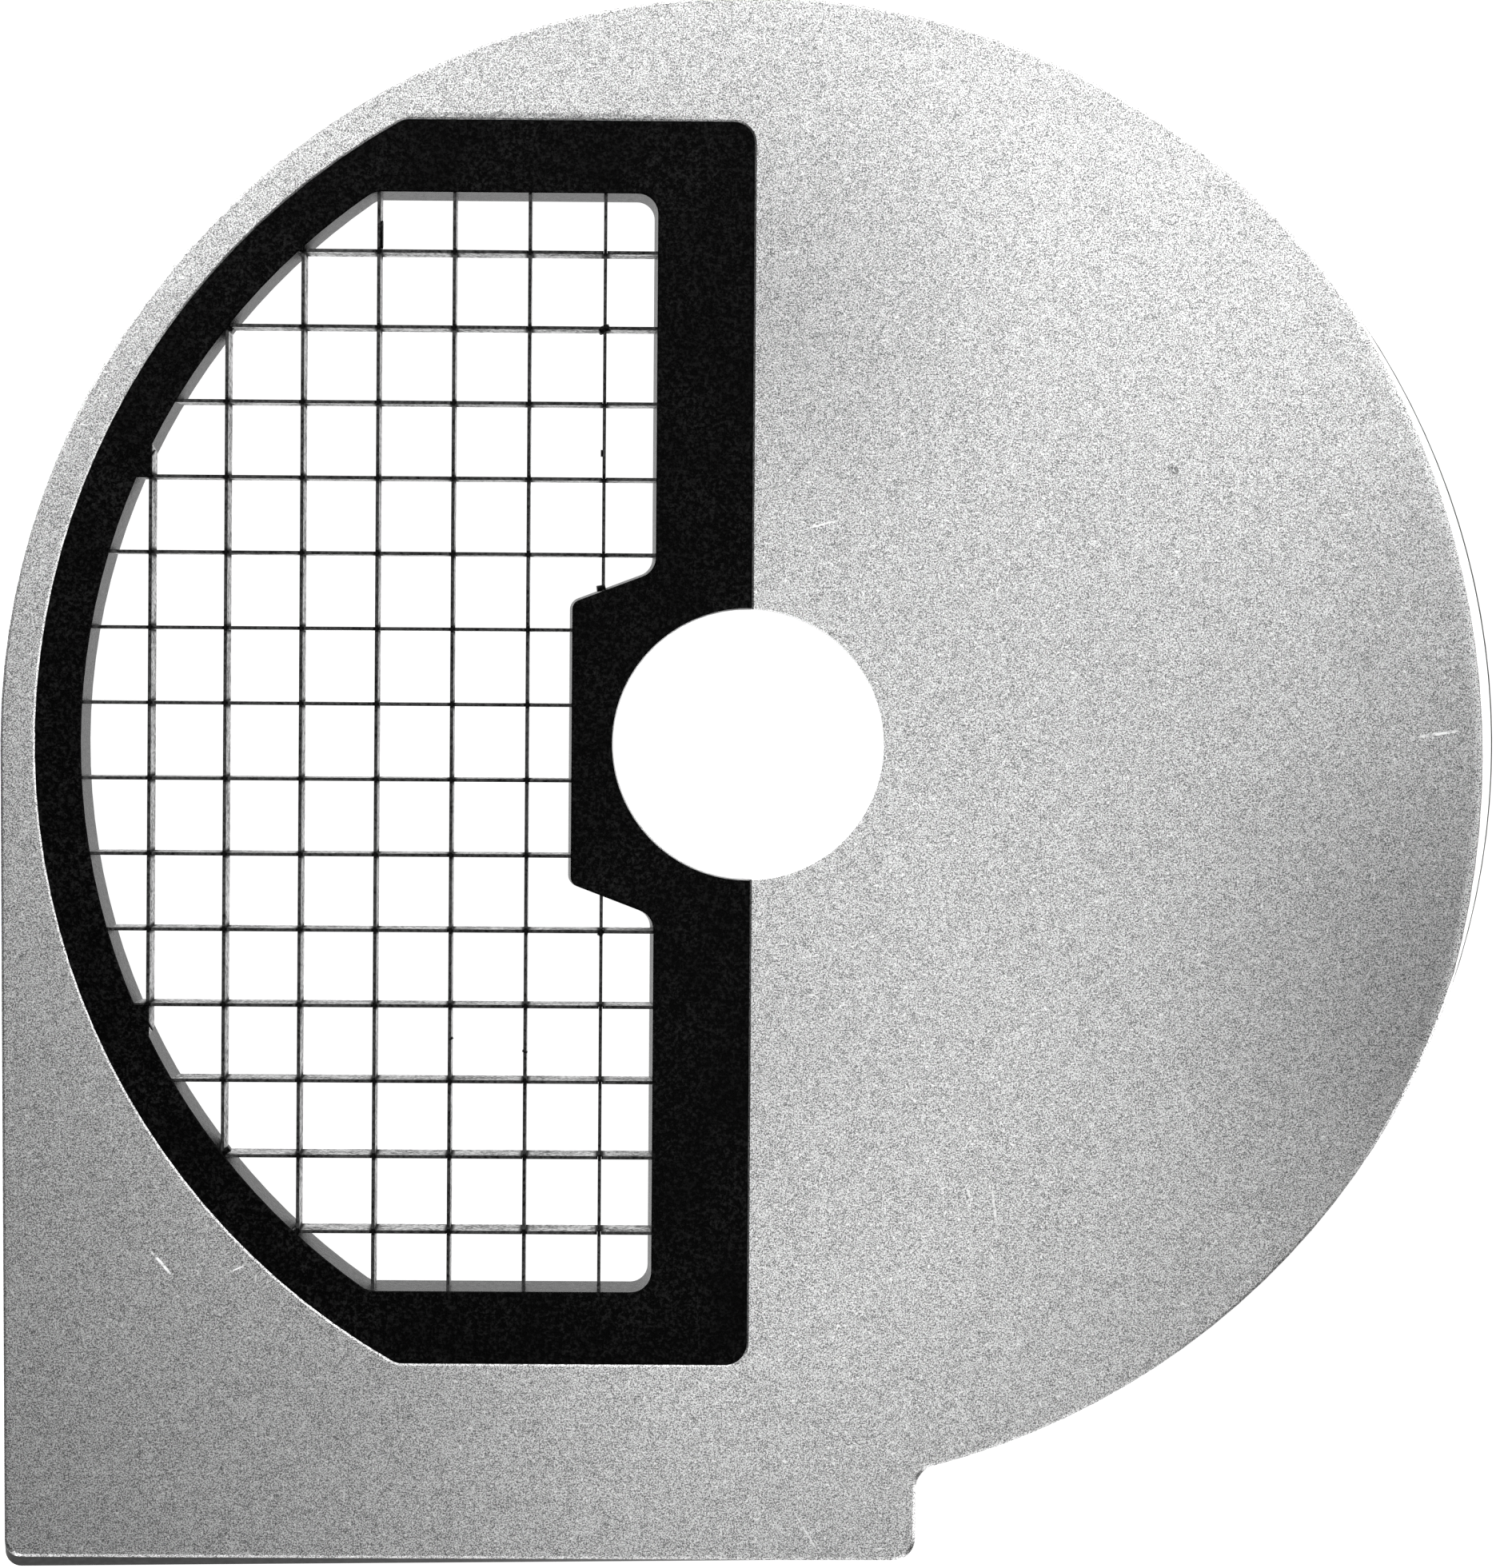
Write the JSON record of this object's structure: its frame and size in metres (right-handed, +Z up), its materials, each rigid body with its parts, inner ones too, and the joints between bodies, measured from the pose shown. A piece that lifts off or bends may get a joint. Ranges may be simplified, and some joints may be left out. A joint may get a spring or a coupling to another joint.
{
  "type": "dicing grid plate",
  "caption": "Round cast plate with a square foot, a hub hole and a half-round window of crossed blades that cuts food into cubes.",
  "frame": {"origin": "on the hub hole's axis, in the plane of the underside", "axes": "+Z up along the hub axis out of the working face; +Y away from the foot; +X away from the grid"},
  "size_m": [0.204, 0.215, 0.014],
  "materials": {
    "cast_aluminium": "bead-blasted casting, fine grain",
    "moulded_nylon": "glass-filled nylon, matt mould texture",
    "blade_steel": "rolled stainless strip, deburred",
    "screw_steel": "plain stainless",
    "brass": "turned"
  },
  "bodies": {
    "root": {"carrier_plate": "cast_aluminium", "cross_blade_01": "blade_steel", "cross_blade_02": "blade_steel", "cross_blade_03": "blade_steel", "cross_blade_04": "blade_steel", "cross_blade_05": "blade_steel", "cross_blade_06": "blade_steel", "cross_blade_07": "blade_steel", "cross_blade_08": "blade_steel", "cross_blade_09": "blade_steel", "cross_blade_10": "blade_steel", "cross_blade_11": "blade_steel", "cross_blade_12": "blade_steel", "cross_blade_13": "blade_steel", "cross_blade_14": "blade_steel", "frame_inserts": "brass", "frame_screws": "screw_steel", "grid_frame": "moulded_nylon", "long_blade_1_back": "blade_steel", "long_blade_1_front": "blade_steel", "long_blade_2": "blade_steel", "long_blade_3": "blade_steel", "long_blade_4": "blade_steel", "long_blade_5": "blade_steel", "long_blade_6": "blade_steel", "long_blade_7": "blade_steel"}
  },
  "joints": []
}
